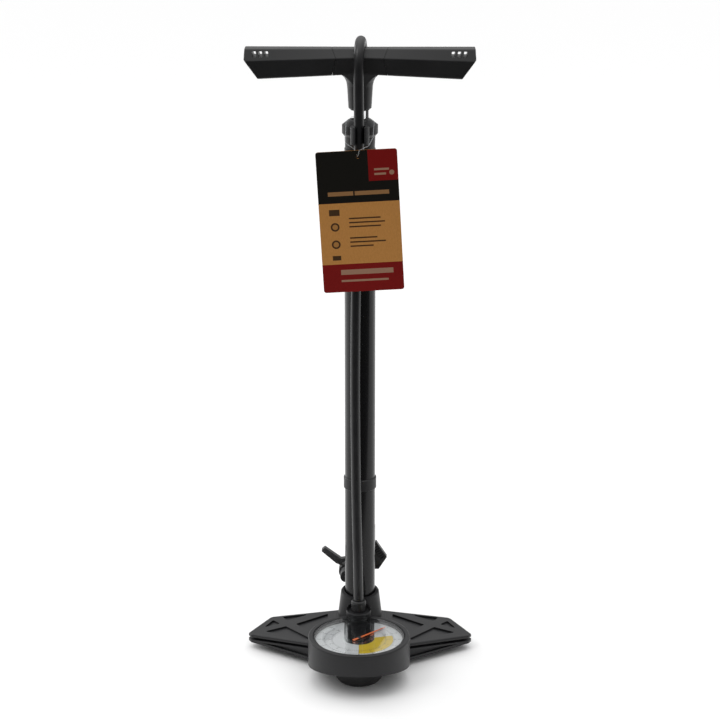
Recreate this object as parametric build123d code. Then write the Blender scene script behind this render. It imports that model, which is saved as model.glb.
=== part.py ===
from build123d import *

import os
from math import pi, radians, tan

# A floor pump for bicycle tyres, standing upright, in millimetres, +Z up.
# Each function works about the pump's own axis, where the barrel stands at x = 0, y = 0
# and the user's side is -Y. keep() then moves each piece back by AXIS_Y, so that the
# finished frame has its origin under the middle of the whole pump.

# Barrel, cap and rod
BARREL_R = 15.0
BORE_R = 13.5
BARREL_BOTTOM = 22.0
BARREL_TOP = 516.0
CAP_R = 17.2
CAP_TOP = 543.7
CAP_EDGE = 538.7
ROD_R = 5.5
ROD_TOP = 598.0
RUNNING = 0.05  # radial clearance of a running fit
SEAT = 0.02  # radial clearance of a piece that never moves in its seat
AIR_R = 1.8  # air passages

# Base
FLOOR_GAP = 7.0  # the moulding's lower edge above the floor
SOCKET_TOP = 62.4
SOCKET_TOP_R = 19.2
SOCKET_FOOT = 38.0
SOCKET_FOOT_R = 21.9
HUB_X = 27.0
HUB_FRONT = -45.0
HUB_BACK = 24.0
HUB_TOP = 28.5
DECK_Z = 28.0  # deck height where the wing leaves the hub
DECK_FALL = 0.15
WING_PLAN = [(20, 25.5), (92, 31), (113.6, -2.5), (110.4, -8.6), (40, -55.8), (20, -45)]
WING_POCKETS = [
    [(89.5, 21), (81.8, 9.6), (98, 5.8)],
    [(80.2, 26.3), (51.3, 23.8), (75.1, 15.3)],
    [(65.5, 3.3), (33, 18.5), (33, -32), (51.3, -18.5)],
    [(96.5, -5), (75.5, 0.8), (51, -35), (51.6, -40)],
]
POCKET_DEPTH = 1.8
PAD_X, PAD_Y, PAD_R = 87.0, 11.0, 7.5

# Gauge
GAUGE_R = 50.0
GAUGE_Y = -79.0
GAUGE_TOP = 47.0
GAUGE_TILT = 0.18  # rise of the housing's underside toward the front
GAUGE_BACK_Z = 7.0
DIAL_TOP = 42.6
DIAL_R = 42.8
LENS_R = 44.2
LENS_Z = 45.2
BRIDGE_W = 10.9
BRIDGE_FRONT = 8.0  # how far the black island reaches in front of the needle's axis
TRIM_W = 15.0
TRIM_FRONT = 13.8
NEEDLE_ANGLE = 45.5
NEEDLE_REACH = 36.5
NEEDLE_TAIL = 8.0

# Hose, its fitting on the base, and what holds it
HOSE_D = 9.5
HOSE_IN = (-1.0, -32.0)
NUT_R = 7.3
NUT_TOP = 64.1
HOSE_Z0 = 62.5
FLANGE_R = 12.2
FLANGE_Z0, FLANGE_Z1 = 48.9, 53.1
BAND_Z0, BAND_Z1, BAND_R = 172.4, 184.7, 16.2
BAND_HOSE = (4.75, 21.97)
CLIP_R = 7.6
CLIP_GAP = 0.6
CAP_CLIP_Z0, CAP_CLIP_Z1 = 524.5, 541.0
CAP_HOSE = (-0.5, -22.8)
CAP_CLIP_R = 9.0
HOSE_ROUTE = [
    (-1, -32, HOSE_Z0),
    (-1.5, -31, 95),
    (-3, -25.5, 150),
    (-4, -22, 215),
    (-4.5, -21.8, 300),
    (-3.5, -22.3, 400),
    (-1, -22.8, 480),
    (-0.5, -22.8, 530),
    (-1, -21.5, 572),
    (-1, -20, 618.2),
    (2, 20, 618.2),
    (3, 23, 572),
    (3.5, 24, 510),
    (4, 23, 430),
    (4.2, 22.2, 340),
    (4.4, 22, 250),
    (4.5, 21.9, 190),
    (5.5, 22.2, 150),
    (8, 24.5, 118),
]

# Head, which hangs behind the barrel
HEAD_Y0, HEAD_Y1 = 20.0, 33.5
HEAD_X1 = 12.7
PAD_YS = (19.0, 25.5)
LEVER_PIVOT = (-8.0, 81.0)
PIN_R = 1.8
CHEEK_R = 5.6
EYE_R = 6.6
LEVER_Y0, LEVER_Y1 = 22.4, 28.6
LEVER_GAP = 0.4
COLLAR_AT = (-14.2, 67.0)
COLLAR_R = 8.0
COLLAR_Y0, COLLAR_Y1 = 34.2, 46.0
VALVE_R = 4.1
BOSS_R = 6.2
PLUNGER_R = 2.5
FERRULE_Z0 = 104.0
FERRULE_R = 7.2

# Handle
HANDLE_TOP = 612.0
RIDGE_Z = 603.0
RIDGE_RISE = 1.0  # how much higher the ridge is at the middle
RIDGE_Y = 12.5
SEAM_X = 26.4
SEAM_POINT_X = 22.3
SEAM_GAP = 0.3
END_X = 108.4
NECK_BOTTOM = 554.5
ARM_END = 84.0
ARM_Y, ARM_Z = 12.0, 9.0

# Piston, at the bottom of its stroke
PLUG_TOP = 34.0
PISTON_Z0, PISTON_Z1 = 39.0, 52.0
PISTON_R = 13.2
TENON_R = 4.0

# Card tag
TAG_W, TAG_H, TAG_T = 77.0, 137.0, 0.7
TAG_MIDDLE = (0.5, -29.5, 451.5)
TAG_LEAN = 3.3  # degrees, right-hand side up
TAG_HOLE = (-1.5, 514.0)

FRONT_REACH = GAUGE_R - GAUGE_Y
BACK_REACH = BAND_HOSE[1] + CLIP_R
AXIS_Y = (FRONT_REACH - BACK_REACH) / 2


def keep(node, shape):
    """Write one piece in the finished frame."""
    export_step(Pos(0, AXIS_Y, 0) * shape, f"parts/{node}.step")


def post(x, y, r, z0, z1):
    """An upright cylinder."""
    return extrude(Pos(x, y, z0) * Circle(r), z1 - z0)


def ring(r, hole, z0, z1, x=0, y=0):
    """An upright ring."""
    return post(x, y, r, z0, z1) - post(x, y, hole, z0 - 1, z1 + 1)


def cross_post(at, r, y0, y1):
    """A cylinder along Y at the place at = (x, z)."""
    x, z = at
    return extrude(Plane((x, y1, z), x_dir=(1, 0, 0), z_dir=(0, -1, 0)) * Circle(r), y1 - y0)


def turned(profile):
    """A solid of revolution about the pump's axis, from (radius, z) points."""
    return revolve(make_face(Plane.XZ * Polyline(*profile, close=True)), Axis.Z)


def plan(points, z0, z1, corner=0):
    """An outline in plan, drawn up from z0 to z1."""
    face = make_face(Polyline(*points, close=True))
    if corner:
        face = fillet(face.vertices(), corner)
    return extrude(Pos(0, 0, z0) * face, z1 - z0)


def side(points, y0, y1, corner=0):
    """An outline of (x, z) points, drawn along Y from y0 to y1."""
    face = make_face(Polyline(*points, close=True))
    if corner:
        face = fillet(face.vertices(), corner)
    return extrude(Pos(0, y1, 0) * (Plane.XZ * face), y1 - y0)


def mirrored(shape):
    """The shape with its twin on the other side of x = 0."""
    return shape + mirror(shape, Plane.YZ)


def deck(x):
    """Height of a wing's deck."""
    return DECK_Z - DECK_FALL * (x - HUB_X)


def wing_slab(low, high):
    """The space over a wing between two heights, each a number or a drop below the deck."""
    near, far = 15.0, 125.0
    floor = [(near, low(near)), (far, low(far))]
    roof = [(far, high(far)), (near, high(near))]
    return side(floor + roof, -90, 60)


def below_deck(drop):
    """A height function that runs parallel to the deck."""
    return lambda x: deck(x) - drop


def level(z):
    """A height function that is level."""
    return lambda x: z


def wing_face(inset=0.0):
    """The wing's outline in plan, rounded at its outer corners."""
    face = make_face(Polyline(*WING_PLAN, close=True))
    outer = face.vertices().filter_by(lambda v: v.X > 80)
    face = fillet(outer.sort_by(Axis.Y)[-1:], 6)
    face = fillet(face.vertices().filter_by(lambda v: v.X > 100), 2.5)
    if inset:
        face = offset(face, -inset, kind=Kind.INTERSECTION)
    return face


def wing_band(outer_inset, inner_inset, low, high):
    """A band that follows the wing's outline."""
    body = extrude(wing_face(outer_inset), 60) - extrude(wing_face(inner_inset), 60)
    return body & wing_slab(low, high)


def wing():
    """The right-hand wing: sloping deck, sunk pockets, a rib along the edge, hollow below."""
    solid = extrude(wing_face(), 60) & wing_slab(level(FLOOR_GAP), below_deck(0))
    roof = solid.faces().sort_by(Axis.Z)[-1]
    rim = roof.edges().filter_by(lambda e: e.center().X > 45)
    solid = fillet(rim, 1.8)
    for outline in WING_POCKETS:
        solid -= plan(outline, 0, 60, 1.2) & wing_slab(below_deck(POCKET_DEPTH), level(60))
    solid -= wing_band(-1, 4.6, below_deck(5.6), below_deck(2.8))
    solid -= wing_band(-1, 2.4, level(0), below_deck(7.6)) & wing_slab(level(9.6), level(60))
    hollow = extrude(wing_face(4.0), 60) & wing_slab(level(0), below_deck(7.0))
    for x0, x1 in ((32, 55), (58, 76)):
        solid -= hollow & Pos((x0 + x1) / 2, 0, 10) * Box(x1 - x0, 150, 40)
    return solid


def socket():
    """The tapered socket that the barrel stands in."""
    outside = [
        (0, FLOOR_GAP),
        (SOCKET_FOOT_R, FLOOR_GAP),
        (SOCKET_FOOT_R, SOCKET_FOOT),
        (SOCKET_TOP_R, SOCKET_TOP - 1.5),
        (SOCKET_TOP_R - 0.9, SOCKET_TOP),
        (BARREL_R + 1.0, SOCKET_TOP),
        (BARREL_R + 0.6, SOCKET_TOP - 6),
        (0, SOCKET_TOP - 6),
    ]
    dip = [(0, SOCKET_TOP), (-30, SOCKET_TOP - 4.5), (-30, SOCKET_TOP + 9), (0, SOCKET_TOP + 9)]
    dip = extrude(make_face(Plane.YZ * Polyline(*dip, close=True)), 40, both=True)
    return turned(outside) - dip


def hub():
    """The block under the barrel that carries the wings, the socket and the gauge."""
    block = Pos(0, (HUB_FRONT + HUB_BACK) / 2, (FLOOR_GAP + HUB_TOP) / 2)
    block = block * Box(2 * HUB_X, HUB_BACK - HUB_FRONT, HUB_TOP - FLOOR_GAP)
    block = fillet(block.edges().filter_by(Axis.Z).group_by(Axis.Y)[-1], 9)
    return chamfer(block.faces().sort_by(Axis.Z)[-1].edges(), 1.5)


def air_passage():
    """From the valve chamber forward, then up to the hose fitting."""
    x, y = HOSE_IN
    forward = extrude(Plane((0, 0, 13), x_dir=(1, 0, 0), z_dir=(0, -1, 0)) * Circle(AIR_R), -y)
    return forward + post(x, y, AIR_R, 13 - AIR_R, GAUGE_TOP)


def base_body():
    """Wings, hub and socket in one moulding."""
    body = mirrored(wing()) + hub() + socket()
    body -= post(0, 0, BARREL_R + SEAT, BARREL_BOTTOM, SOCKET_TOP + 1)
    body -= post(0, 0, 4.0, 9.0, BARREL_BOTTOM)
    body -= air_passage()
    body -= post(0, GAUGE_Y, GAUGE_R + SEAT, 0, 70)
    for x in (-PAD_X, PAD_X):
        body -= post(x, PAD_Y, 1.5, 0, 13)
    return body


def gauge_housing():
    """A round cup with a level top and a slanted underside."""
    back, front = GAUGE_Y + GAUGE_R + 1, GAUGE_Y - GAUGE_R - 1
    rise = GAUGE_BACK_Z + GAUGE_TILT * (back - front)
    wedge = [(back, GAUGE_BACK_Z), (front, rise), (front, GAUGE_TOP), (back, GAUGE_TOP)]
    wedge = make_face(Plane.YZ * Polyline(*wedge, close=True))
    body = extrude(wedge, 60, both=True)
    cup = fillet(post(0, 0, GAUGE_R, 0, GAUGE_TOP).faces().sort_by(Axis.Z)[-1].edges(), 1.6)
    cavity = [
        (0, 29.0),
        (41.0, 29.0),
        (41.0, DIAL_TOP - 0.6),
        (DIAL_R + SEAT, DIAL_TOP - 0.6),
        (DIAL_R + SEAT, LENS_Z),
        (LENS_R + SEAT, LENS_Z),
        (LENS_R + SEAT, LENS_Z + 0.9),
        (LENS_R + 1.2, GAUGE_TOP),
        (0, GAUGE_TOP),
    ]
    cup -= turned(cavity)
    body &= Pos(0, GAUGE_Y, 0) * cup
    body -= post(*HOSE_IN, AIR_R, 0, GAUGE_TOP + 1)
    return body - post(0, GAUGE_Y, 1.5, 0, 24)


def island_face(half_width, reach):
    """A bar from the rear of the dial, rounded at its front end round the needle's axis."""
    middle = GAUGE_Y - reach + half_width
    bar = Pos(0, middle + 30) * Rectangle(2 * half_width, 60)
    face = bar + Pos(0, middle) * Circle(half_width)
    return face & Pos(0, GAUGE_Y) * Circle(DIAL_R - 0.2)


def gauge_dial():
    """The printed disc under the lens."""
    disc = post(0, GAUGE_Y, DIAL_R, DIAL_TOP - 0.6, DIAL_TOP)
    return disc - post(0, GAUGE_Y, 1.2, 0, 60)


def gauge_bridge():
    """The black island on the dial, with the tower under the hose fitting at its rear."""
    plate = extrude(Pos(0, 0, DIAL_TOP) * island_face(BRIDGE_W, BRIDGE_FRONT), 0.8)
    tower = post(*HOSE_IN, BRIDGE_W, DIAL_TOP, GAUGE_TOP)
    tower &= post(0, GAUGE_Y, DIAL_R - 0.2, 0, 60)
    return plate + tower - post(0, GAUGE_Y, 1.2, 0, 60)


def gauge_trim():
    """The bright border round the island."""
    outer = island_face(TRIM_W, TRIM_FRONT)
    inner = island_face(BRIDGE_W + SEAT, BRIDGE_FRONT + SEAT)
    return extrude(Pos(0, 0, DIAL_TOP) * (outer - inner), 0.5)


def gauge_lens():
    """The clear window, cut away round the tower."""
    pane = post(0, GAUGE_Y, LENS_R, LENS_Z, LENS_Z + 1.4)
    return pane - post(*HOSE_IN, BRIDGE_W + 0.1, 0, 60)


def gauge_block():
    """The brass block that the gauge's tube is soldered to."""
    block = Pos(0, GAUGE_Y + 35, 34) * Box(9, 9, 10)
    return block - bourdon_tube()


def bourdon_tube():
    """The curved tube that opens as the pressure rises."""
    section = Plane.XZ * (Pos(32, 35) * Ellipse(2.0, 3.2))
    arc = revolve(section, Axis.Z, 262)
    return Pos(0, GAUGE_Y, 0) * (Rot(0, 0, 98) * arc)


def needle():
    """A slim pointer with a short tail."""
    outline = [(-NEEDLE_TAIL, -1.5), (-NEEDLE_TAIL, 1.5), (NEEDLE_REACH, 0.35), (NEEDLE_REACH, -0.35)]
    blade = plan(outline, 43.9, 44.4) - post(0, 0, 1.0, 0, 60)
    return Pos(0, GAUGE_Y, 0) * (Rot(0, 0, NEEDLE_ANGLE) * blade)


def needle_hub():
    """The needle's cap and spindle."""
    spindle = post(0, GAUGE_Y, 0.8, 36, 43.9) + post(0, GAUGE_Y, 0.98, 43.9, 44.4)
    return spindle + post(0, GAUGE_Y, 2.2, 44.4, 45.0)


def front_foot():
    """The rubber foot under the gauge, cut to the housing's slanted underside."""
    z = GAUGE_BACK_Z + GAUGE_TILT * (GAUGE_R + 1)
    profile = [(0, 0), (17, 0), (20, 1.2), (22.5, 4), (24, 9), (24, 24), (0, 24)]
    dome = Pos(0, GAUGE_Y, 0) * turned(profile)
    low = [(GAUGE_Y + 30, -1), (GAUGE_Y - 30, -1)]
    high = [(GAUGE_Y - 30, z + 30 * GAUGE_TILT), (GAUGE_Y + 30, z - 30 * GAUGE_TILT)]
    under = extrude(make_face(Plane.YZ * Polyline(*low, *high, close=True)), 40, both=True)
    dome &= under
    dome -= post(0, GAUGE_Y, 1.6, 0, 30)
    return dome - post(0, GAUGE_Y, 3.6, 0, 4)


def wing_pads():
    """A rubber pad under each wing."""
    pad = post(PAD_X, PAD_Y, PAD_R, 0, FLOOR_GAP)
    pad = fillet(pad.faces().sort_by(Axis.Z)[0].edges(), 1.2)
    pad -= post(PAD_X, PAD_Y, 1.6, 0, 10) + post(PAD_X, PAD_Y, 3.4, 0, 3)
    return mirrored(pad)


def screw(x, y, head_z, head_r, length):
    """A pan-head screw driven up from below, with a cross slot."""
    body = post(x, y, head_r, head_z, head_z + 1.8) + post(x, y, 1.45, head_z, head_z + length)
    slots = Box(0.8, 4, 1.6) + Box(4, 0.8, 1.6)
    return body - Pos(x, y, head_z) * slots


def foot_screws():
    """The three screws that hold the foot and the pads."""
    screws = [screw(x, PAD_Y, 1.2, 3.2, 10) for x in (-PAD_X, PAD_X)]
    return Compound(children=[*screws, screw(0, GAUGE_Y, 2.2, 3.4, 20)])


def socket_envelope():
    """A little more than the socket, to cut what stands against it."""
    return post(0, 0, SOCKET_FOOT_R + 0.1, 0, SOCKET_TOP + 4)


def hose_flange():
    """The round flange under the hose nut, with a raised lip at its rear."""
    x, y = HOSE_IN
    disc = fillet(post(x, y, FLANGE_R, FLANGE_Z0, FLANGE_Z1).edges(), 0.8)
    step = post(x, y, BRIDGE_W, GAUGE_TOP, FLANGE_Z0 + 1)
    lip = ring(FLANGE_R - 0.3, FLANGE_R - 1.6, FLANGE_Z1 - 0.2, FLANGE_Z1 + 3.8, x, y)
    lip &= Pos(x, y + 9, 55) * Box(40, 18, 20)
    body = disc + step + lip - post(x, y, 4.5, 0, 80)
    return body - socket_envelope()


def hose_barb():
    """The fitting that the hose is pushed against, inside its nut."""
    x, y = HOSE_IN
    stem = post(x, y, 4.5 - SEAT, GAUGE_TOP, FLANGE_Z1)
    stem += post(x, y, HOSE_D / 2, FLANGE_Z1, HOSE_Z0)
    return stem - post(x, y, AIR_R, 0, 80)


def hose_nut():
    """The ribbed nut that clamps the hose."""
    x, y = HOSE_IN
    z0, ribs = FLANGE_Z1, 18
    body = post(0, 0, NUT_R, z0, NUT_TOP)
    body = fillet(body.faces().sort_by(Axis.Z)[-1].edges(), 1.6)
    for k in range(ribs):
        angle = 360 / ribs * (k + 0.5)
        groove = Pos(NUT_R + 0.25, 0, (z0 + NUT_TOP) / 2 - 1.6) * Box(1.5, 1.15, NUT_TOP - z0 - 3)
        body -= Rot(0, 0, angle) * groove
    body -= post(0, 0, HOSE_D / 2 + 0.1, 0, 80)
    return Pos(x, y, 0) * body


def barrel_tube():
    """The drawn tube that the piston runs in."""
    return ring(BARREL_R, BORE_R, BARREL_BOTTOM, BARREL_TOP)


def barrel_plug():
    """The plug at the barrel's foot, with the outlet and the check valve's seat."""
    r = BORE_R - SEAT
    profile = [
        (AIR_R, PLUG_TOP),
        (AIR_R, 25),
        (3.4, 22),
        (r, 22),
        (r, 26.5),
        (11.3, 26.5),
        (11.3, 29.5),
        (r, 29.5),
        (r, PLUG_TOP),
    ]
    return turned(profile)


def barrel_oring():
    """The seal in the plug's groove."""
    section = Plane.XZ * (Pos(12.4, 28) * Circle(1.05))
    return revolve(section, Axis.Z)


def check_ball():
    """The ball that stops the air coming back."""
    return Pos(0, 0, 21.9) * Sphere(3.0)


def check_spring():
    """The light coil spring under the ball."""
    pitch, height = 1.8, 9.0
    path = Pos(0, 0, 9.4) * Helix(pitch, height, 2.0)
    start = path @ 0
    section = Plane(start, z_dir=path % 0) * Circle(0.3)
    return sweep(section, path, is_frenet=True)


def cap_hose_clip():
    """The open arms on the cap's front that hold the hose."""
    x, y = CAP_HOSE
    clip = hose_clip((x + 0.6, y), CAP_CLIP_R, HOSE_D / 2 + CLIP_GAP, CAP_CLIP_Z0, CAP_CLIP_Z1, 8.4, -1)
    return clip - post(0, 0, BARREL_R - 0.6, 0, 600)


def barrel_cap():
    """The cap on the barrel, with a cone at its top and a plug inside the tube."""
    profile = [
        (8 + SEAT, CAP_TOP - 0.6),
        (8.6, CAP_TOP),
        (11.1, CAP_TOP),
        (CAP_R, CAP_EDGE),
        (CAP_R, 531),
        (14.6, 528),
        (14.2, BARREL_TOP),
        (BORE_R - SEAT, BARREL_TOP),
        (BORE_R - SEAT, 498),
        (8 + SEAT, 498),
    ]
    hose_room = post(*CAP_HOSE, HOSE_D / 2 + CLIP_GAP, 500, 560)
    return turned(profile) + cap_hose_clip() - hose_room


def hose_clip(at, r, hole, z0, z1, opening, toward):
    """An open ring that the hose snaps into; toward is +1 or -1, the open side in Y."""
    x, y = at
    body = ring(r, hole, z0, z1, x, y)
    mouth = Pos(x, y + toward * r, (z0 + z1) / 2) * Box(opening, 2 * r, z1 - z0 + 2)
    return body - mouth


def hose_band():
    """The band round the barrel with a clip for the hose at its rear."""
    hole = HOSE_D / 2 + CLIP_GAP
    edge = 0.9
    profile = [
        (BARREL_R + SEAT, BAND_Z0),
        (BAND_R - edge, BAND_Z0),
        (BAND_R, BAND_Z0 + edge),
        (BAND_R, BAND_Z1 - edge),
        (BAND_R - edge, BAND_Z1),
        (BARREL_R + SEAT, BAND_Z1),
    ]
    clip = hose_clip(BAND_HOSE, CLIP_R, hole, BAND_Z0, BAND_Z1, 6.4, 1)
    clip -= post(0, 0, BAND_R - 0.5, 0, 600)
    return turned(profile) + clip - post(*BAND_HOSE, hole, 100, 250)


def cap_bush():
    """The plain bearing that guides the rod."""
    return ring(8, ROD_R + RUNNING, 498, 538)


def rod_wiper():
    """The soft ring that keeps dirt off the rod."""
    return ring(8, ROD_R + RUNNING, 538, CAP_TOP - 0.6)


def piston_head():
    """The piston, turned with a groove for its seal."""
    profile = [
        (TENON_R + RUNNING, PISTON_Z0),
        (PISTON_R, PISTON_Z0),
        (PISTON_R, 42.5),
        (11.0, 42.5),
        (11.0, 47.5),
        (PISTON_R, 47.5),
        (PISTON_R, PISTON_Z1),
        (TENON_R + RUNNING, PISTON_Z1),
    ]
    return turned(profile)


def piston_seal():
    """The sealing ring of the piston."""
    return ring(BORE_R - RUNNING, 11.02, 42.6, 47.4)


def rod():
    """The piston rod, with a tenon at its foot and a threaded hole at its top."""
    body = post(0, 0, ROD_R, PISTON_Z1 + 0.3, ROD_TOP)
    body += post(0, 0, TENON_R, 35.2, PISTON_Z1 + 0.3)
    return body - post(0, 0, 2.5 + SEAT, 580, 610)


def rod_nut():
    """The nut that holds the piston on the rod."""
    nut = extrude(Pos(0, 0, 35.2) * RegularPolygon(7.0, 6), 3.5)
    return nut - post(0, 0, TENON_R + SEAT, 0, 60)


def handle_section(x, bottom, half_top, half_bottom, ridge):
    """The handle's six-sided section at one place along X; ridge is its (half width, z)."""
    wide, ridge_z = ridge
    corners = [
        (x, -half_top, HANDLE_TOP),
        (x, -wide, ridge_z),
        (x, -half_bottom, bottom),
        (x, half_bottom, bottom),
        (x, wide, ridge_z),
        (x, half_top, HANDLE_TOP),
    ]
    return make_face(Polyline(*corners, close=True))


def handle_bar():
    """The right half of the handle before it is cut into pieces."""
    inner = handle_section(0, 587.9, 6.5, 8.5, (RIDGE_Y, RIDGE_Z + RIDGE_RISE))
    outer = handle_section(112, 582.6, 8.0, 9.5, (RIDGE_Y + 1, RIDGE_Z - 2.5 * RIDGE_RISE))
    bar = loft([inner, outer], ruled=True)
    long_edges = bar.edges().filter_by(lambda e: e.length > 80)
    return fillet(long_edges, 2.2)


def seam(shift):
    """The seam's outline: a shallow V that points inward at the ridge."""
    return [
        (SEAM_X - shift, 640),
        (SEAM_X - shift, HANDLE_TOP),
        (SEAM_POINT_X - shift, RIDGE_Z),
        (SEAM_X - shift, 587),
        (SEAM_X - shift, 560),
    ]


def grip():
    """The right-hand grip, with three slots through it near its end."""
    outline = seam(0) + [(81.4, 562), (END_X + 0.6, RIDGE_Z - 1), (END_X, HANDLE_TOP), (END_X, 640)]
    body = handle_bar() & side(outline, -30, 30)
    tip = body.edges().filter_by(lambda e: e.center().X > 93)
    tip = tip.filter_by(lambda e: e.length > 4)
    body = fillet(tip.filter_by(lambda e: abs(e.tangent_at(0.5).X) < 0.75), 0.8)
    for back in (9.4, 15.1, 20.8):
        x = END_X - back
        slot = [(x - 2.2, 604.2), (x + 1.4, 604.2), (x + 2.2, 609.6), (x - 1.4, 609.6)]
        body -= side(slot, -30, 30, 0.7)
    arm = Pos((ARM_END + 0.5) / 2, 0, 600) * Box(ARM_END + 0.5, ARM_Y + 0.1, ARM_Z + 0.1)
    return body - arm


def handle_core():
    """The middle of the handle: the neck, the hub and the arms inside the grips."""
    half = handle_bar() & side(seam(SEAM_GAP) + [(-1, 560), (-1, 640)], -30, 30)
    neck = [
        (0, NECK_BOTTOM),
        (10.4, NECK_BOTTOM),
        (11.0, NECK_BOTTOM + 0.7),
        (12.2, 576),
        (13.0, 580.2),
        (14.6, 583.6),
        (17.2, 586.4),
        (21.0, 588.2),
        (21.0, 592),
        (0, 592),
    ]
    front = [(-11.4, 550), (-11.4, 576), (-8.3, 588.5), (-8.3, 600)]
    back = [(-y, z) for y, z in reversed(front)]
    depth = extrude(make_face(Plane.YZ * Polyline(*front, *back, close=True)), 30, both=True)
    neck = turned(neck) & depth
    arms = Pos(0, 0, 600) * Box(2 * ARM_END, ARM_Y, ARM_Z)
    body = mirrored(half) + neck + arms
    body -= post(0, 0, ROD_R + SEAT, 500, ROD_TOP)
    body -= post(0, 0, 9.0, 500, 556.5)
    body -= post(0, 0, 4.6, 604, 640)
    return body - post(0, 0, 2.6, 590, 610)


def rod_bumper():
    """The rubber ring that lands on the cap."""
    return ring(9.0 - SEAT, ROD_R + SEAT, NECK_BOTTOM - 1.3, 556.5)


def handle_screw():
    """The screw that holds the handle on the rod."""
    body = post(0, 0, 4.4, 604, 607.5) + post(0, 0, 2.5, 584, 604)
    hexagon = extrude(Pos(0, 0, 605) * RegularPolygon(2.3, 6), 3)
    return body - hexagon


def head_outline():
    """The head's side shape in (x, z)."""
    left = [(0, FERRULE_Z0), (-1, 91), (-7, 80), (-12.5, 74), (-14.4, 73)]
    right = [(-14.4, 61.5), (-5, 60.5), (9, 70), (HEAD_X1, 80), (HEAD_X1, FERRULE_Z0)]
    return right + left


def head_body():
    """The head's housing, slotted for the lever's eye between two round cheeks."""
    x, y, _ = HOSE_ROUTE[-1]
    body = side(head_outline(), HEAD_Y0, HEAD_Y1, 1.2)
    body += cross_post(COLLAR_AT, BOSS_R, HEAD_Y0 + 1, COLLAR_Y0)
    body += cross_post(LEVER_PIVOT, CHEEK_R, HEAD_Y0, HEAD_Y1)
    body -= cross_post(LEVER_PIVOT, EYE_R + 1, LEVER_Y0 - LEVER_GAP, LEVER_Y1 + LEVER_GAP)
    body -= cross_post(LEVER_PIVOT, PIN_R + SEAT, 0, 60)
    body -= cross_post(COLLAR_AT, PLUNGER_R + RUNNING, 23, 60)
    body -= cross_post(COLLAR_AT, 4.6 + SEAT, 31, 60)
    return body - post(x, y, AIR_R, 90, 120)


def lock_lever():
    """The locking lever: a flat forked arm that ends in an eye round the pin."""
    tip = [(-39.9, 94.6), (-36.0, 98.2)]
    outline = tip + [(-19.4, 86.0), (-11, 87.4), (-11, 76.6), (-15.5, 77.2), (-24.6, 81.2)]
    window = [(-19.4, 80.8), (-15, 83.7), (-11, 84.6), (-11, 78.2), (-15, 79.0)]
    lever = side(outline, LEVER_Y0, LEVER_Y1, 1.2)
    lever += cross_post(LEVER_PIVOT, EYE_R, LEVER_Y0, LEVER_Y1)
    lever -= side(window, 0, 60, 0.5)
    return lever - cross_post(LEVER_PIVOT, PIN_R + RUNNING, 0, 60)


def lever_pin():
    """The pin that the lever turns on."""
    return cross_post(LEVER_PIVOT, PIN_R, HEAD_Y0 + 0.2, HEAD_Y1 - 0.2)


def head_plunger():
    """The plunger that squeezes the gasket when the lever is thrown."""
    thick = cross_post(COLLAR_AT, PLUNGER_R, 24, 29.3)
    return thick + cross_post(COLLAR_AT, 1.3, 29.3, 32.6)


def head_gasket():
    """The rubber seal that grips the tyre valve."""
    return cross_post(COLLAR_AT, 4.6, 31, COLLAR_Y0) - cross_post(COLLAR_AT, 3.3, 30, 60)


def valve_collar():
    """The ribbed collar round the valve hole."""
    x, z = COLLAR_AT
    middle, long, ribs = (COLLAR_Y0 + COLLAR_Y1) / 2, COLLAR_Y1 - COLLAR_Y0, 22
    body = fillet(cross_post((0, 0), COLLAR_R, COLLAR_Y0, COLLAR_Y1).edges(), 0.8)
    for k in range(ribs):
        groove = Pos(COLLAR_R + 0.2, middle, 0) * Box(1.4, long - 3, 1.1)
        body -= Rot(0, 360 / ribs * k, 0) * groove
    body -= cross_post((0, 0), VALVE_R, 0, 60)
    return Pos(x, 0, z) * body


def thumb_grip():
    """The ribbed pad on the head's right-hand side."""
    top, corner = Vector(15.4, 107.4), Vector(27.1, 89.6)
    outline = [top, corner, (18.8, 76.6), (HEAD_X1, 76.6), (HEAD_X1, FERRULE_Z0), (15.4, FERRULE_Z0)]
    body = side([(v[0], v[1]) if isinstance(v, tuple) else (v.X, v.Y) for v in outline], *PAD_YS, 0.7)
    along = (corner - top).normalized()
    inward = Vector(along.Y, -along.X)
    for k in range(7):
        start = top + along * (2.6 * k + 3.0) + inward * 1.3
        slot = [start, start + along * 1.3, start + along * 1.3 + inward * 6, start + inward * 6]
        body -= side([(v.X, v.Y) for v in slot], PAD_YS[0] - 1, PAD_YS[0] + 1.5)
    hollow = [(12, 94), (14.2, 90.6), (20.0, 81.4), (18.4, 78.2), (12, 78.2)]
    return body - side(hollow, PAD_YS[0] - 1, PAD_YS[0] + 1.5)


def hose_ferrule():
    """The sleeve at the hose's end on the head."""
    x, y, z = HOSE_ROUTE[-1]
    body = post(x, y, FERRULE_R, FERRULE_Z0, z + 6)
    body = chamfer(body.faces().sort_by(Axis.Z)[-1].edges(), 1.2)
    return body - post(x, y, AIR_R, 90, z) - post(x, y, HOSE_D / 2 + 0.9, z, z + 20)


def corner_radii(points, share=0.45):
    """The largest comfortable bend at each inner point of a route."""
    radii = []
    places = [Vector(*p) for p in points]
    for before, here, after in zip(places, places[1:], places[2:]):
        one, two = here - before, after - here
        turn = radians(one.get_angle(two))
        radii.append(share * min(one.length, two.length) / tan(turn / 2))
    return radii


def hose():
    """The hose, from the barb up over the handle and down to the head."""
    radii = corner_radii(HOSE_ROUTE)
    path = FilletPolyline(*HOSE_ROUTE, radius=radii)
    section = Plane(path @ 0, z_dir=path % 0) * Circle(HOSE_D / 2)
    tube = sweep(section, path)
    expected = pi * (HOSE_D / 2) ** 2 * path.length
    print("hose bend radii, mm:", [round(r) for r in radii])
    print("hose length, mm:", round(path.length, 1))
    print("hose volume over section times length:", round(tube.volume / expected, 4))
    return tube


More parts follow.
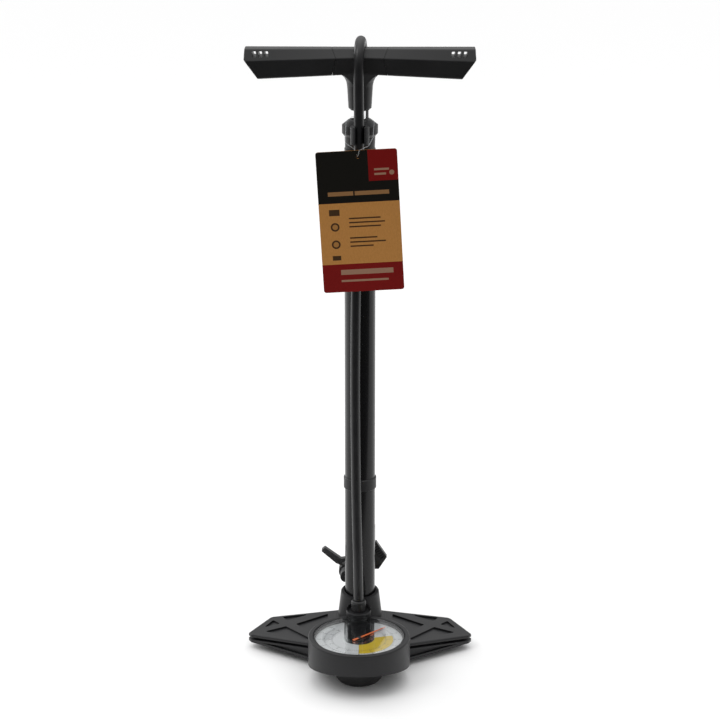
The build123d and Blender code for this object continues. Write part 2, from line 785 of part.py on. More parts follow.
def hang_tag():
    """The card tag, leaning a little, with a punched hole."""
    card = fillet(Rectangle(TAG_W, TAG_H).vertices(), 2.5)
    card = extrude(Plane.XZ * card, TAG_T / 2, both=True)
    card = Pos(*TAG_MIDDLE) * (Rot(0, -TAG_LEAN, 0) * card)
    return card - cross_post(TAG_HOLE, 2.0, -60, 0)


def tag_loop():
    """The clear thread that ties the tag to the rod."""
    hole_x, hole_z = TAG_HOLE
    front, behind = TAG_MIDDLE[1] - 1.1, TAG_MIDDLE[1] + 1.15
    route = [
        (hole_x - 0.7, front, hole_z + 0.3),
        (hole_x - 0.7, behind, hole_z + 0.3),
        (hole_x - 3.5, behind, hole_z + 7),
        (-13.5, -25, 526),
        (-13, -13.5, 543.5),
        (-7.5, 2, 546),
        (0, 8, 546),
        (7.5, 2, 546),
        (13.5, -13.5, 543.5),
        (12.5, -25, 531),
        (8.5, -31.5, 524.5),
        (hole_x + 0.9, front, hole_z + 6),
        (hole_x + 0.2, front, hole_z + 0.9),
    ]
    path = FilletPolyline(*route, radius=0.8)
    section = Plane(path @ 0, z_dir=path % 0) * Circle(0.35)
    return sweep(section, path)


PIECES = [
    base_body,
    gauge_housing,
    gauge_dial,
    gauge_bridge,
    gauge_trim,
    gauge_lens,
    gauge_block,
    bourdon_tube,
    front_foot,
    wing_pads,
    foot_screws,
    hose_flange,
    hose_barb,
    hose_nut,
    barrel_tube,
    barrel_plug,
    barrel_oring,
    check_ball,
    check_spring,
    barrel_cap,
    cap_bush,
    rod_wiper,
    hose_band,
    piston_head,
    piston_seal,
    rod,
    rod_nut,
    rod_bumper,
    handle_core,
    handle_screw,
    needle_hub,
    head_body,
    lock_lever,
    lever_pin,
    head_plunger,
    head_gasket,
    valve_collar,
    thumb_grip,
    hose_ferrule,
    hose,
    hang_tag,
    tag_loop,
]

os.makedirs("parts", exist_ok=True)
for piece in PIECES:
    keep(piece.__name__, piece())
keep("gauge_needle", needle())
right_grip = grip()
keep("grip_right", right_grip)
keep("grip_left", mirror(right_grip, Plane.YZ))
print("pump axis at y =", round(AXIS_Y, 3))
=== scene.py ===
# %% [markdown]
# # A floor pump for bicycle tyres
# The imported model already holds every hard piece in its place. This lesson gives each piece its
# finish, replaces the plain hose with a rubber tube along a smooth curved route, prints the dial
# and the card tag, and sets up a studio. Everything is in metres, in the model's own frame.

# %% Load the fixed frame
import math

import bpy
import numpy as np
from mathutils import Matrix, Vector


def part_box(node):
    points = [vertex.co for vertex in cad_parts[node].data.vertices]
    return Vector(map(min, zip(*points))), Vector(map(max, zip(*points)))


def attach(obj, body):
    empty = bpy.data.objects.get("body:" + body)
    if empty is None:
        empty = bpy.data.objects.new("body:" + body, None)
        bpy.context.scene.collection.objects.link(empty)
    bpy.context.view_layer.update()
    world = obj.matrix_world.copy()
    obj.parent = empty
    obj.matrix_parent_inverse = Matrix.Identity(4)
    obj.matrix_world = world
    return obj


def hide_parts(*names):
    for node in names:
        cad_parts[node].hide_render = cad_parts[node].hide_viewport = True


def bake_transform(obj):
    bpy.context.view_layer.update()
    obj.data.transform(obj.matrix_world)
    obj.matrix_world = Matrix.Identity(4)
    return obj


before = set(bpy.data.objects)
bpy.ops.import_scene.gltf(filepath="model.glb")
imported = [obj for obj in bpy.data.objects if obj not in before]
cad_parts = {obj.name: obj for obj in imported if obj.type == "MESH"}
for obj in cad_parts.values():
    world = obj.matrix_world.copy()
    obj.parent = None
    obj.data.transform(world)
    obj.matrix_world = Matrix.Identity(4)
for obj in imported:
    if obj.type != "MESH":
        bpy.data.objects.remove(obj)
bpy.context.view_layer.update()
print("nodes:", len(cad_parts))

# %% [markdown]
# ## Where things are
# The barrel stands on the pump's axis. The gauge's middle and the card's middle are read from
# the model's own boxes, so nothing here has to be fitted by eye.

# %% Places that the later steps share
MM = 0.001


def middle(node):
    """The middle of a node's box."""
    low, high = (np.array(corner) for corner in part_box(node))
    return (low + high) / 2


AXIS_Y = middle("barrel_tube")[1]
GAUGE = middle("gauge_dial")
CARD = middle("hang_tag")
DIAL_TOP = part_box("gauge_dial")[1][2]
print("axis y %.4f, gauge at %s" % (AXIS_Y, np.round(GAUGE, 4)))

# %% [markdown]
# ## Shader maths as Python
# A finish is a sum of masks and patterns. Wiring Math nodes by hand hides the formula, so one
# small class wraps a socket and lets an expression such as 1 - mask add the nodes it needs.


# %% The class that wraps a socket
class Value:
    """A number that a node gives; the operators add Math nodes to its tree."""

    def __init__(self, tree, socket):
        self.tree = tree
        self.socket = socket

    def math(self, operation, *others):
        return self.tree.node("ShaderNodeMath", {"operation": operation}, [self, *others])

    def __add__(self, other):
        return self.math("ADD", other)

    def __sub__(self, other):
        return self.math("SUBTRACT", other)

    def __rsub__(self, other):
        return (self * -1) + other

    def __mul__(self, other):
        return self.math("MULTIPLY", other)

    def __truediv__(self, other):
        return self.math("DIVIDE", other)

    def __abs__(self):
        return self.math("ABSOLUTE")

    __radd__ = __add__
    __rmul__ = __mul__

    def above(self, edge, soft):
        """0 below the edge and 1 above it, over a soft width."""
        settings = {"interpolation_type": "SMOOTHSTEP", "clamp": True}
        inputs = {"Value": self, "From Min": edge - soft, "From Max": edge + soft}
        return self.tree.node("ShaderNodeMapRange", settings, inputs)

    def within(self, low, high, soft):
        """1 between two values and 0 outside them."""
        return self.above(low, soft) * (1 - self.above(high, soft))


class Graph:
    """A node tree, and the few calls that fill it."""

    def __init__(self, owner):
        owner.use_nodes = True
        self.tree = owner.node_tree

    def put(self, socket, value):
        """Give a socket a link, a colour or a number."""
        if isinstance(value, Value):
            self.tree.links.new(value.socket, socket)
        elif isinstance(value, tuple) and len(value) == 3 and socket.type == "RGBA":
            socket.default_value = (*value, 1)
        else:
            socket.default_value = value

    def node(self, kind, settings=None, inputs=None, output=0):
        """Add a node, set it, fill its sockets, and give one of its outputs."""
        made = self.tree.nodes.new(kind)
        for key, value in (settings or {}).items():
            setattr(made, key, value)
        pairs = inputs.items() if isinstance(inputs, dict) else enumerate(inputs or [])
        for key, value in pairs:
            self.put(made.inputs[key], value)
        return Value(self, made.outputs[output])


class Finish(Graph):
    """One material with its Principled shader."""

    def __init__(self, name, color=(0.5, 0.5, 0.5), roughness=0.5, **more):
        self.material = bpy.data.materials.new(name)
        super().__init__(self.material)
        self.shader = self.tree.nodes["Principled BSDF"]
        self.set("Base Color", color)
        self.set("Roughness", roughness)
        for key, value in more.items():
            self.set(key.replace("_", " "), value)

    def set(self, name, value):
        """Put a number, a colour or a link on the Principled shader's socket."""
        self.put(self.shader.inputs[name], value)

    def place(self, origin=(0, 0, 0), turn=(0, 0, 0)):
        """The x, y and z of the surface about an origin, in millimetres."""
        where = self.node("ShaderNodeTexCoord", output="Object")
        inputs = {"Vector": where, "Location": tuple(origin), "Rotation": turn, "Scale": (MM,) * 3}
        local = self.node("ShaderNodeMapping", {"vector_type": "TEXTURE"}, inputs)
        return [self.node("ShaderNodeSeparateXYZ", None, [local], i) for i in range(3)]

    def noise(self, scale, detail=3, stretch=(1, 1, 1)):
        """A smooth random field over the surface, about 0.5."""
        where = self.node("ShaderNodeTexCoord", output="Object")
        where = self.node("ShaderNodeMapping", None, {"Vector": where, "Scale": stretch})
        inputs = {"Vector": where, "Scale": scale, "Detail": detail}
        return self.node("ShaderNodeTexNoise", None, inputs)

    def mix(self, mask, first, second):
        """The first colour where the mask is 0 and the second where it is 1."""
        settings = {"data_type": "RGBA", "clamp_factor": True}
        return self.node("ShaderNodeMix", settings, {0: mask, 6: first, 7: second}, 2)

    def bump(self, height, depth, strength=1.0):
        """Raise the surface by a height field times a depth in metres."""
        inputs = {"Strength": strength, "Distance": depth, "Height": height}
        self.set("Normal", self.node("ShaderNodeBump", None, inputs))


def dress(finish, *names):
    """Give a finish to CAD nodes."""
    for name in names:
        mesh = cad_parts[name].data
        mesh.materials.clear()
        mesh.materials.append(finish.material)


# %% [markdown]
# ## Black mouldings
# The base, gauge case, cap and handle are glass-filled nylon: nearly black, with a fine spark
# texture from the mould that spreads the highlights. Noise at two scales does this: a fine one
# for the grain in the bump, and a broad one that varies the gloss where hands and shoes rub.


# %% A moulded plastic
def moulded(name, color, roughness, grain=2600, depth=0.00004):
    """Dark plastic with a spark-eroded grain and slightly uneven gloss."""
    finish = Finish(name, color, roughness)
    fine = finish.noise(grain, 2)
    broad = finish.noise(38, 3)
    worn = finish.noise(230, 5).above(0.66, 0.08)
    finish.set("Roughness", roughness + (broad - 0.5) * 0.16 + (fine - 0.5) * 0.06)
    lighter = tuple(1.5 * c + 0.003 for c in color)
    finish.set("Base Color", finish.mix(broad * 0.6 + worn * 0.25, color, lighter))
    finish.bump(fine, depth, 0.6)
    return finish


base_black = moulded("base_black", (0.008, 0.008, 0.009), 0.43)
base_black.set("Specular IOR Level", 0.36)
grip_black = moulded("grip_black", (0.008, 0.008, 0.0085), 0.40, 2100, 0.00005)
head_black = moulded("head_black", (0.024, 0.024, 0.025), 0.44, 3000)
dress(base_black, "base_body", "gauge_housing", "hose_flange", "barrel_cap", "hose_band")
dress(base_black, "barrel_plug")
dress(grip_black, "handle_core", "grip_left", "grip_right")
dress(head_black, "head_body", "lock_lever", "thumb_grip", "hose_ferrule")
dress(head_black, "valve_collar")
dress(grip_black, "hose_nut")
print("mouldings:", base_black.material.name, grip_black.material.name, head_black.material.name)

# %% [markdown]
# ## Gloss black paint
# The barrel is a painted steel tube. Paint levels out into long soft waves, the orange peel, so
# its clear coat is sharp but not perfect. The waves are stretched along the tube.


# %% The barrel's paint
def barrel_paint():
    """Black paint under a clear coat, with long shallow waves along the tube."""
    finish = Finish("barrel_paint", (0.0025, 0.0025, 0.003), 0.30, Coat_Weight=0.3)
    finish.set("Specular IOR Level", 0.18)
    finish.set("Coat Roughness", 0.06)
    waves = finish.noise(260, 2, (1, 1, 0.25))
    dust = finish.noise(900, 2).above(0.7, 0.06)
    finish.set("Roughness", 0.27 + (waves - 0.5) * 0.08 + dust * 0.1)
    finish.bump(waves, 0.00002, 0.35)
    return finish


dress(barrel_paint(), "barrel_tube")

# %% [markdown]
# ## Metals
# Chrome, steel and brass differ in colour and in the marks that the tools leave. Turned pieces
# carry rings round their axis, which is noise stretched hard in one direction.


# %% Metal finishes
def metal(name, color, roughness, stretch=(1, 1, 1), marks=0.12):
    """Bare metal with tool marks that follow one direction."""
    finish = Finish(name, color, roughness, Metallic=1.0)
    lines = finish.noise(700, 3, stretch)
    finish.set("Roughness", roughness + (lines - 0.5) * marks)
    finish.bump(lines, 0.00001, 0.3)
    return finish


dress(metal("rod_chrome", (0.86, 0.87, 0.88), 0.08, (1, 1, 6), 0.05), "rod")
steel = metal("steel", (0.56, 0.56, 0.57), 0.3)
dress(steel, "foot_screws", "lever_pin")
dress(metal("screw_steel", (0.5, 0.5, 0.51), 0.34), "check_ball", "handle_screw", "rod_nut")
dress(metal("turned_brass", (0.72, 0.53, 0.24), 0.24, (1, 1, 5)), "hose_barb", "gauge_block")
dress(metal("tube_brass", (0.66, 0.46, 0.2), 0.3), "bourdon_tube")
dress(metal("bright_trim", (0.88, 0.89, 0.9), 0.12), "gauge_trim")
dress(metal("hub_silver", (0.92, 0.92, 0.93), 0.16, (5, 5, 1)), "needle_hub")


# %% [markdown]
# ## Rubber and engineering plastics
# Feet, seals and the bumper are matt rubber. The bush and the piston are natural acetal, a milky
# plastic that is smooth and slightly waxy.


# %% Soft and sliding pieces
def rubber(name, color, roughness):
    """Matt rubber with a dusty, fine-pored skin."""
    finish = Finish(name, color, roughness)
    pores = finish.noise(1800, 3)
    dust = finish.noise(60, 4)
    finish.set("Base Color", finish.mix(dust.above(0.55, 0.2) * 0.4, color, (0.022, 0.022, 0.022)))
    finish.set("Roughness", roughness + (dust - 0.5) * 0.15)
    finish.bump(pores, 0.00005, 0.5)
    return finish


foot_rubber = rubber("foot_rubber", (0.007, 0.007, 0.0075), 0.72)
dress(foot_rubber, "front_foot", "wing_pads", "rod_wiper", "rod_bumper")
dress(foot_rubber, "head_gasket", "barrel_oring", "piston_seal")
acetal = Finish("acetal", (0.74, 0.73, 0.69), 0.38, Subsurface_Weight=0.1)
acetal.bump(acetal.noise(900, 2), 0.00003, 0.3)
dress(acetal, "cap_bush", "piston_head", "head_plunger")

# %% [markdown]
# ## The dial's print
# A dial is drawn about its needle, so its print is worked out in polar terms: r is the distance
# from the needle's axis, and the scale runs clockwise through 270 degrees from where the needle
# rests. One turn of the scale is cut into 60 fine marks and 12 long ones.

# %% Dial layout, in millimetres and degrees
REST_ANGLE = 45.5
SWEEP = 270.0
INNER_R, OUTER_R = 26.0, 33.6
FINE_MARKS, LONG_MARKS = 60, 12
FINE_LONG, LONG_LONG = 1.5, 2.8
FINE_WIDTH, LONG_WIDTH = 0.11, 0.034
ARC_HALF = 0.12
YELLOW_FROM, YELLOW_TO, YELLOW_R = -90, 16, 5
SILVER_DARK, SILVER_PALE = (0.46, 0.46, 0.47), (0.56, 0.56, 0.57)
YELLOW_INK, DIAL_INK = (0.52, 0.36, 0.003), (0.03, 0.03, 0.035)


# %% The dial's finish
def marks(count, turn, width):
    """Thin marks, evenly spaced over the scale; width is a share of their spacing."""
    steps = turn * count
    offset = abs(steps - steps.math("ROUND"))
    return 1 - offset.above(width, width * 0.35)


def dial_print():
    """Silver disc, yellow sector, two scales of marks and their thin arcs."""
    finish = Finish("dial_print", (0.7, 0.7, 0.71), 0.42)
    x, y, _ = finish.place(GAUGE)
    r = (x * x + y * y).math("SQRT")
    degrees = y.math("ARCTAN2", x) * math.degrees(1)
    behind = (REST_ANGLE - degrees) / 360
    turn = behind.math("FRACT") * (360 / SWEEP)
    on_scale = turn.within(-0.004, 1.004, 0.002)
    yellow = degrees.within(YELLOW_FROM, YELLOW_TO, 0.3) * r.within(YELLOW_R, OUTER_R, 0.12)
    paper = finish.noise(420, 3)
    silver = finish.mix(paper, SILVER_DARK, SILVER_PALE)
    ground = finish.mix(yellow, silver, YELLOW_INK)
    arcs = r.within(INNER_R - ARC_HALF, INNER_R + ARC_HALF, 0.05)
    arcs = arcs + r.within(OUTER_R - ARC_HALF, OUTER_R + ARC_HALF, 0.05)
    fine = marks(FINE_MARKS, turn, FINE_WIDTH)
    long = marks(LONG_MARKS, turn, LONG_WIDTH)
    comb = fine * r.within(INNER_R, INNER_R + FINE_LONG, 0.08)
    comb = comb + fine * r.within(OUTER_R, OUTER_R + FINE_LONG, 0.08)
    comb = comb + long * r.within(INNER_R, INNER_R + LONG_LONG, 0.08)
    comb = comb + long * r.within(OUTER_R, OUTER_R + LONG_LONG, 0.08)
    ink = comb * on_scale + arcs * on_scale * 0.55
    finish.set("Base Color", finish.mix(ink, ground, DIAL_INK))
    return finish


dress(dial_print(), "gauge_dial")
needle_paint = Finish("needle_paint", (0.80, 0.16, 0.035), 0.35)
needle_paint.bump(needle_paint.noise(1500, 2), 0.00001, 0.3)
dress(needle_paint, "gauge_needle")
island = Finish("island_black", (0.005, 0.005, 0.006), 0.12, Coat_Weight=0.4)
island.bump(island.noise(300, 2), 0.00001, 0.3)
dress(island, "gauge_bridge")


# %% [markdown]
# ## The window
# The lens is clear plastic. Full refraction would darken the dial under it, because light has to
# find its way through both faces. Mixing see-through with a mirror by Schlick's law keeps the
# dial bright and still reflects the barrel where the view grazes the lens.


# %% The lens
def window():
    """See-through where it faces the eye, and mirror-like at a grazing angle."""
    finish = Finish("window")
    finish.tree.nodes.remove(finish.shader)
    clear = finish.node("ShaderNodeBsdfTransparent", None, {"Color": (0.97, 0.98, 0.98)})
    shine = finish.node("ShaderNodeBsdfGlossy", None, {"Color": (1, 1, 1), "Roughness": 0.03})
    facing = finish.node("ShaderNodeLayerWeight", None, {"Blend": 0.5}, 1)
    mirror = 0.04 + facing.math("POWER", 5) * 0.96
    both = finish.node("ShaderNodeMixShader", None, [mirror, clear, shine])
    end = finish.tree.nodes["Material Output"]
    finish.tree.links.new(both.socket, end.inputs["Surface"])
    return finish


dress(window(), "gauge_lens")

# %% [markdown]
# ## Surfaces from arrays
# New pieces are grids of points: rows run along a path and columns run round it. The points are
# worked out as whole arrays, and the faces follow from the grid alone.


# %% Turn a grid of points into a mesh object
def grid_object(name, points):
    """points has the shape (rows, columns, 3), and the columns join round."""
    rows, columns = points.shape[:2]
    index = np.arange(rows * columns).reshape(rows, columns)
    right = np.roll(index, -1, axis=1)
    faces = np.stack([index[:-1], right[:-1], right[1:], index[1:]], axis=-1).reshape(-1, 4)
    mesh = bpy.data.meshes.new(name)
    mesh.from_pydata(points.reshape(-1, 3).tolist(), [], faces.tolist())
    mesh.shade_smooth()
    made = bpy.data.objects.new(name, mesh)
    bpy.context.scene.collection.objects.link(made)
    return made


# %% [markdown]
# ## The hose
# The hose is one length of smooth rubber, 9.5 mm across. It rises from the base, goes over the
# handle and hangs down behind the barrel to the head. Its route is a smooth NURBS curve through
# the space that the model keeps for it, and the skin is a tube carried along that curve.

# %% The hose's route
HOSE_D = 0.0095
HOSE_STEP = 0.002
HOSE_ROUTE = [
    (-1, -32, 62.5),
    (-1.5, -31, 95),
    (-3, -25.5, 150),
    (-4, -22, 215),
    (-4.5, -21.8, 300),
    (-3.5, -22.3, 400),
    (-1, -22.8, 480),
    (-0.5, -22.8, 530),
    (-1, -21.5, 572),
    (-1, -20, 618.2),
    (2, 20, 618.2),
    (3, 23, 572),
    (3.5, 24, 510),
    (4, 23, 430),
    (4.2, 22.2, 340),
    (4.4, 22, 250),
    (4.5, 21.9, 190),
    (5.5, 22.2, 150),
    (8, 24.5, 118),
]


def smooth_path(name, control):
    """Points along a quadratic NURBS curve, read from the curve with no thickness."""
    data = bpy.data.curves.new(name, "CURVE")
    data.dimensions = "3D"
    data.resolution_u = 48
    spline = data.splines.new("NURBS")
    spline.points.add(len(control) - 1)
    spline.points.foreach_set("co", np.c_[control, np.ones(len(control))].ravel())
    spline.order_u = 3
    spline.use_endpoint_u = True
    holder = bpy.data.objects.new(name, data)
    mesh = bpy.data.meshes.new_from_object(holder)
    points = np.zeros(len(mesh.vertices) * 3)
    mesh.vertices.foreach_get("co", points)
    bpy.data.objects.remove(holder)
    bpy.data.meshes.remove(mesh)
    return points.reshape(-1, 3)


def evenly(points, spacing):
    """The same line with its points an even distance apart."""
    run = np.r_[0, np.cumsum(np.linalg.norm(np.diff(points, axis=0), axis=1))]
    at = np.linspace(0, run[-1], int(run[-1] / spacing) + 1)
    return np.stack([np.interp(at, run, points[:, i]) for i in range(3)], axis=1)


control = np.array(HOSE_ROUTE) * MM + (0, AXIS_Y, 0)
hose_line = evenly(smooth_path("hose_line", control), HOSE_STEP)
print("hose line: %d points" % len(hose_line))


# %% [markdown]
# A tube's section needs two directions square to the path. The hose stays near the plane that
# faces the side, so +X, made square to the path, serves as one of them all the way, and the
# section never twists.


# %% The hose's skin
def tube(name, line, radius, sides=32, toward=(1.0, 0, 0)):
    """Each point is the line's point plus r (cos a N + sin a B), N and B square to the line."""
    along = np.gradient(line, axis=0)
    along /= np.linalg.norm(along, axis=1, keepdims=True)
    side = toward - along * np.sum(along * toward, axis=1, keepdims=True)
    side /= np.linalg.norm(side, axis=1, keepdims=True)
    third = np.cross(along, side)
    angle = np.linspace(0, 2 * np.pi, sides, endpoint=False)[None, :, None]
    ring = np.cos(angle) * side[:, None] + np.sin(angle) * third[:, None]
    return grid_object(name, line[:, None] + radius * ring)


def hose_rubber():
    """Smooth extruded rubber: satin, with faint lines along it and a little dust."""
    finish = Finish("hose_rubber", (0.008, 0.008, 0.009), 0.36)
    lines = finish.noise(500, 2, (1, 1, 0.06))
    dust = finish.noise(70, 4)
    ground = finish.mix(dust * 0.7, (0.006, 0.006, 0.007), (0.012, 0.012, 0.013))
    finish.set("Base Color", ground)
    finish.set("Roughness", 0.34 + (dust - 0.5) * 0.14)
    finish.bump(lines, 0.00003, 0.4)
    return finish


hose = tube("hose_skin", hose_line, HOSE_D / 2)
hose.data.materials.append(hose_rubber().material)
on_hose = ["hose_ferrule", "head_body", "valve_collar", "head_gasket", "lever_pin"]
on_hose += ["thumb_grip", "lock_lever", "head_plunger"]
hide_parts("hose")
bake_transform(hose)

# %% [markdown]
# ## The valve's spring
# The small spring under the check ball shortens as the ball drops. It is made again as a coil of
# wire that runs from the foot to the top of the spring's own box.

# %% A coil of wire
COIL_R, WIRE_R, COIL_TURNS = 0.002, 0.0003, 5
low, high = (corner[2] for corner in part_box("check_spring"))
turn = np.linspace(0, 2 * np.pi * COIL_TURNS, 48 * COIL_TURNS)
outward = np.stack([np.cos(turn), np.sin(turn), 0 * turn], axis=1)
rise = np.linspace(low + WIRE_R, high - WIRE_R, len(turn))
coil = outward * COIL_R + np.stack([0 * turn, 0 * turn + AXIS_Y, rise], axis=1)
spring = tube("spring_coil", coil, WIRE_R, 10, outward)
spring.data.materials.append(steel.material)
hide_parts("check_spring")
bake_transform(spring)

# %% [markdown]
# ## Numbers on the dial
# The scale's numbers are real type, turned into a mesh and laid just above the print. Each stands
# upright for a reader at the front, at its own long mark, and none lies under the black island.

# %% Number height and places
NUMBER_SIZE = 3.0 * MM
NUMBER_R = 30.3
OUTER_NUMBER_R = 39.4
NUMBER_LIFT = 0.00004
NUMBER_ROWS = (("bar", NUMBER_R, 1), ("psi", OUTER_NUMBER_R, 15))
ink_black = Finish("ink_black", (0.02, 0.02, 0.022), 0.5)


def type_mesh(name, text, size, where):
    """A flat mesh of some type, centred on a place."""
    data = bpy.data.curves.new(name, "FONT")
    data.body = text
    data.size = size
    data.align_x = "CENTER"
    data.align_y = "CENTER"
    data.resolution_u = 3
    holder = bpy.data.objects.new(name, data)
    mesh = bpy.data.meshes.new_from_object(holder)
    bpy.data.objects.remove(holder)
    points = np.zeros(len(mesh.vertices) * 3)
    mesh.vertices.foreach_get("co", points)
    points = points.reshape(-1, 3) + where
    mesh.vertices.foreach_set("co", points.ravel())
    made = bpy.data.objects.new(name, mesh)
    bpy.context.scene.collection.objects.link(made)
    made.data.materials.append(ink_black.material)
    return made


def number_place(step, radius):
    """Where a long mark's number goes, a hair above the dial."""
    angle = math.radians(REST_ANGLE - SWEEP * step / LONG_MARKS)
    x, y = GAUGE[0] + radius * MM * math.cos(angle), GAUGE[1] + radius * MM * math.sin(angle)
    return np.array([x, y, DIAL_TOP + NUMBER_LIFT])


for step in range(LONG_MARKS + 1):
    for row, radius, factor in NUMBER_ROWS:
        where = number_place(step, radius)
        label = type_mesh(f"{row}_{step:02d}", str(step * factor), NUMBER_SIZE, where)
        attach(label, "pump_body")

# %% [markdown]
# ## The card tag
# The tag is kraft card with a black head, a red corner and a red foot. Real print is words and
# pictures. Here plain bars and simple shapes stand in their places, as masks in the card's own
# flat coordinates: u runs across it and v runs up it, in millimetres from its middle.

# %% Card layout
CARD_LEAN = math.radians(3.3)
KRAFT_DARK, KRAFT_PALE = (0.50, 0.22, 0.055), (0.66, 0.31, 0.088)
FLECK, TITLE_INK, PALE_INK = (0.12, 0.05, 0.018), (0.33, 0.17, 0.07), (0.42, 0.26, 0.17)
BLACK_INK, RED_INK = (0.009, 0.008, 0.006), (0.22, 0.007, 0.006)
HEAD_LOW, FOOT_HIGH = 18.5, -41.0
CORNER = (10.5, 60, 38.5, 90)
LINE_LEFT, LINE_DOWN, LINE_UP = -10.5, 0.9, 0.5
LINES = [(30, 3.5), (34, -0.5), (30, -4.5), (26, -15.5), (34, -19.5), (22, -23.5)]
ICON_BOXES = [(-29, -19, 6.5, 12.5), (-28, -20, -37, -32.5)]
RING_U, RING_V, RING_R, RING_HOLE_R = -24, (-4.5, -21.5), 4.2, 2.6
TITLE, TITLE_GAP = (-29, 29, 25.5, 29.5), (-5, -3.5, 20, 32)
LABELS = [(16, 30, 48.5, 50.5), (16, 27, 44, 46)]
LABELS += [(-21, 29, -51.5, -46.5), (-21, 24, -58.5, -56.5)]
LABEL_DOT = (32.5, 46, 2.4)


# %% The card's print
def box_mask(u, v, u0, u1, v0, v1, soft=0.12):
    """1 inside a rectangle."""
    return u.within(u0, u1, soft) * v.within(v0, v1, soft)


def disc_mask(u, v, u0, v0, r):
    """1 inside a circle."""
    du, dv = u - u0, v - v0
    return 1 - (du * du + dv * dv).math("SQRT").above(r, 0.12)


def total(masks):
    """The sum of several masks."""
    return sum(masks[1:], masks[0])


def dark_print(u, v):
    """The lines and the icons; a ring is a disc with most of its middle taken out."""
    shapes = [(LINE_LEFT, LINE_LEFT + long, v0 - LINE_DOWN, v0 + LINE_UP) for long, v0 in LINES]
    masks = [box_mask(u, v, *shape) for shape in shapes + ICON_BOXES]
    masks += [disc_mask(u, v, RING_U, ring_v, RING_R) for ring_v in RING_V]
    holes = [disc_mask(u, v, RING_U, ring_v, RING_HOLE_R) for ring_v in RING_V]
    return total(masks) * (1 - total(holes) * 0.75)


def card_print():
    """Kraft fibres under a black head, a red corner, a red foot, bars and icons."""
    finish = Finish("card_print", KRAFT_DARK, 0.62)
    finish.set("Specular IOR Level", 0.15)
    u, depth, v = finish.place(CARD, (0, -CARD_LEAN, 0))
    fibres = finish.noise(900, 4, (1, 1, 0.35))
    specks = finish.noise(2600, 2).above(0.68, 0.04)
    front = 1 - depth.above(-0.2, 0.05)
    head = v.above(HEAD_LOW, 0.1)
    red = box_mask(u, v, *CORNER) + (1 - v.above(FOOT_HIGH, 0.1))
    title = box_mask(u, v, *TITLE) * (1 - box_mask(u, v, *TITLE_GAP))
    pale = total([box_mask(u, v, *label) for label in LABELS]) + disc_mask(u, v, *LABEL_DOT)
    page = finish.mix(fibres, KRAFT_DARK, KRAFT_PALE)
    page = finish.mix(specks * 0.4, page, FLECK)
    page = finish.mix(head * front, page, BLACK_INK)
    page = finish.mix(red.math("MINIMUM", 1) * front, page, RED_INK)
    page = finish.mix(dark_print(u, v) * front * 0.9, page, BLACK_INK)
    page = finish.mix(title * front, page, TITLE_INK)
    page = finish.mix(pale * front * 0.85, page, PALE_INK)
    finish.set("Base Color", page)
    finish.set("Roughness", 0.66 - head * front * 0.2 + (fibres - 0.5) * 0.1)
    finish.bump(fibres, 0.00006, 0.4)
    return finish


dress(card_print(), "hang_tag")
thread = Finish("clear_thread", (0.6, 0.62, 0.64), 0.12, Alpha=0.3)
dress(thread, "tag_loop")

# %% [markdown]
# ## The studio
# The pump stands on a pale floor under a bright ceiling. Black plastic shows what it reflects, so
# the room is dark in front of the pump: the floor fades there and the walls are dim. The upright
# surfaces then stay black, while their edges pick up the bright floor and the sky behind them.

# %% The floor
FLOOR_SIZE = 12.0
FLOOR_NEAR, FLOOR_FADE = -270, 80
FLOOR_PALE, FLOOR_DARK = (0.93, 0.93, 0.93), (0.05, 0.05, 0.05)


def flat_floor(size):
    """A square floor round the pump, pale under it and dark in front."""
    corners = np.array([[-1, -1, 0], [1, -1, 0], [1, 1, 0], [-1, 1, 0.0]]) * size
    mesh = bpy.data.meshes.new("floor")
    mesh.from_pydata(corners.tolist(), [], [(0, 1, 2, 3)])
    made = bpy.data.objects.new("floor", mesh)
    bpy.context.scene.collection.objects.link(made)
    paint = Finish("floor_paint", FLOOR_PALE, 0.6)
    _, y, _ = paint.place()
    paint.set("Base Color", paint.mix(y.above(FLOOR_NEAR, FLOOR_FADE), FLOOR_DARK, FLOOR_PALE))
    made.data.materials.append(paint.material)
    return made


flat_floor(FLOOR_SIZE)


# %% Lamps and surround
CEILING, HORIZON = 1.65, 0.1
SIDE_WALLS, BACK_WALL = 0.22, 0.35


def aim(away):
    """The turn that points an object's -Z against the vector away."""
    across = math.hypot(away[0], away[1])
    return (math.atan2(across, away[2]), 0, math.atan2(away[0], -away[1]))


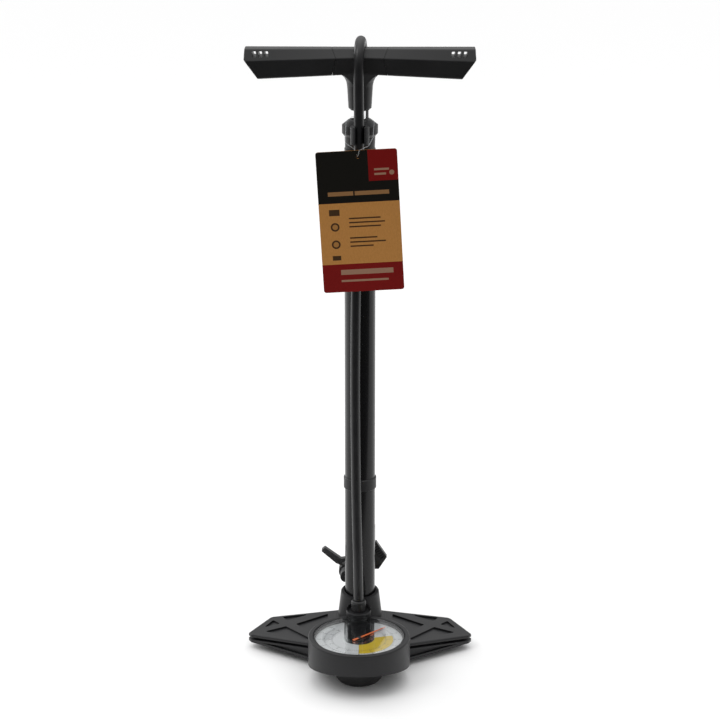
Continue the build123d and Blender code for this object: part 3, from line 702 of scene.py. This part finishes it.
def lamp(name, place, target, size, power):
    """A square area lamp that points at a target."""
    data = bpy.data.lights.new(name, "AREA")
    data.size = size
    data.energy = power
    made = bpy.data.objects.new(name, data)
    made.location = place
    made.rotation_euler = aim(np.array(place) - np.array(target))
    bpy.context.scene.collection.objects.link(made)


def surround():
    """A bright ceiling, a dim horizon, and darkness below the horizon."""
    world = bpy.data.worlds.new("surround")
    room = Graph(world)
    toward = room.node("ShaderNodeTexCoord", output="Generated")
    x, y, z = [room.node("ShaderNodeSeparateXYZ", None, [toward], i) for i in range(3)]
    up = z.math("MAXIMUM", 0)
    sides = abs(x) * SIDE_WALLS + y.math("MAXIMUM", 0) * BACK_WALL
    light = (CEILING * up * up + sides + HORIZON) * z.above(0, 0.05)
    back = room.tree.nodes["Background"]
    room.put(back.inputs["Color"], (1, 1, 1))
    room.put(back.inputs["Strength"], light)
    bpy.context.scene.world = world


surround()
lamp("key", (-1.7, -1.0, 2.4), (0, 0, 0.3), 1.2, 13)
lamp("strip", (-1.5, 1.3, 0.9), (0, 0, 0.3), 0.8, 7)
bpy.context.scene.view_settings.view_transform = "Standard"

# %% [markdown]
# ## The camera
# A long lens from two metres away keeps the barrel's sides nearly parallel. It stands a little to
# the right of the pump's own plane, and looks down by 17 degrees.

# %% Camera
CAMERA_AWAY, CAMERA_UP, CAMERA_SIDE = 2.051, 0.932, math.radians(0.7)
AIM_UP = 0.305
LENS_MM, SENSOR_MM = 109.35, 36


def studio_camera():
    """A camera that looks at the barrel's middle."""
    data = bpy.data.cameras.new("camera")
    data.lens = LENS_MM
    data.sensor_width = SENSOR_MM
    made = bpy.data.objects.new("camera", data)
    across = CAMERA_AWAY * math.sin(CAMERA_SIDE)
    made.location = (across, AXIS_Y - CAMERA_AWAY * math.cos(CAMERA_SIDE), CAMERA_UP)
    made.rotation_euler = aim(np.array(made.location) - (0, AXIS_Y, AIM_UP))
    bpy.context.scene.collection.objects.link(made)
    bpy.context.scene.camera = made


studio_camera()
